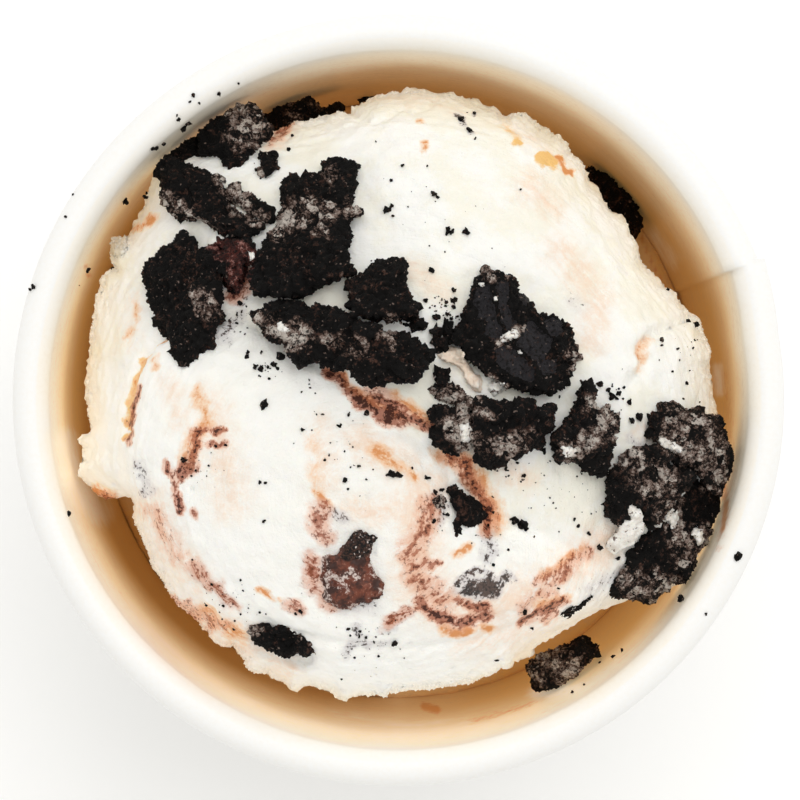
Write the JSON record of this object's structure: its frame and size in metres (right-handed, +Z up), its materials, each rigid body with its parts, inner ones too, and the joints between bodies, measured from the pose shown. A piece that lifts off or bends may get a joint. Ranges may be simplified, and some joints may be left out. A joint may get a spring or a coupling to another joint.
{
  "type": "bowl of ice cream",
  "caption": "Round paper tub with a curled rim, filled with overlapping scoops of vanilla ice cream and topped with broken chocolate cookies.",
  "frame": {"origin": "middle of the tub's foot, on the plane it stands on", "axes": "+Z up out of the tub, +Y towards its far side and +X to the right, as somebody looking down into it sees it"},
  "size_m": [0.096, 0.096, 0.0742],
  "materials": {
    "paper": "smooth white coated paper board, satin",
    "ice_cream": "frozen vanilla cream, soft sheen, streaked with chocolate",
    "melted_cream": "thin melted cream, wet",
    "cookie": "crumbly dark chocolate biscuit, dry",
    "brownie": "moist brown chocolate crumb",
    "filling": "white sugar cream with dark crumbs"
  },
  "bodies": {
    "root": {"tub_wall": "paper", "tub_base": "paper", "melted_cream": "melted_cream", "scoop_back": "ice_cream", "scoop_front": "ice_cream", "brownie": "brownie", "cream_flake": "filling", "cookie_face": "cookie", "cookie_wide": "cookie", "cookie_tall": "cookie", "cookie_knob": "cookie", "cookie_left": "cookie", "cookie_fudge": "cookie", "cookie_shard": "cookie", "cookie_shard_end": "cookie", "cookie_crumbly": "cookie", "cookie_dark": "cookie", "cookie_mid": "cookie", "cookie_slab": "cookie", "cookie_right_top": "cookie", "cookie_right_left": "cookie", "cookie_right_dark": "cookie", "cookie_right_low": "cookie", "cookie_grey": "cookie", "cookie_crease": "cookie", "cookie_in_front": "cookie", "cookie_low": "cookie", "cookie_gap_back": "cookie", "cookie_gap_right": "cookie"}
  },
  "joints": []
}
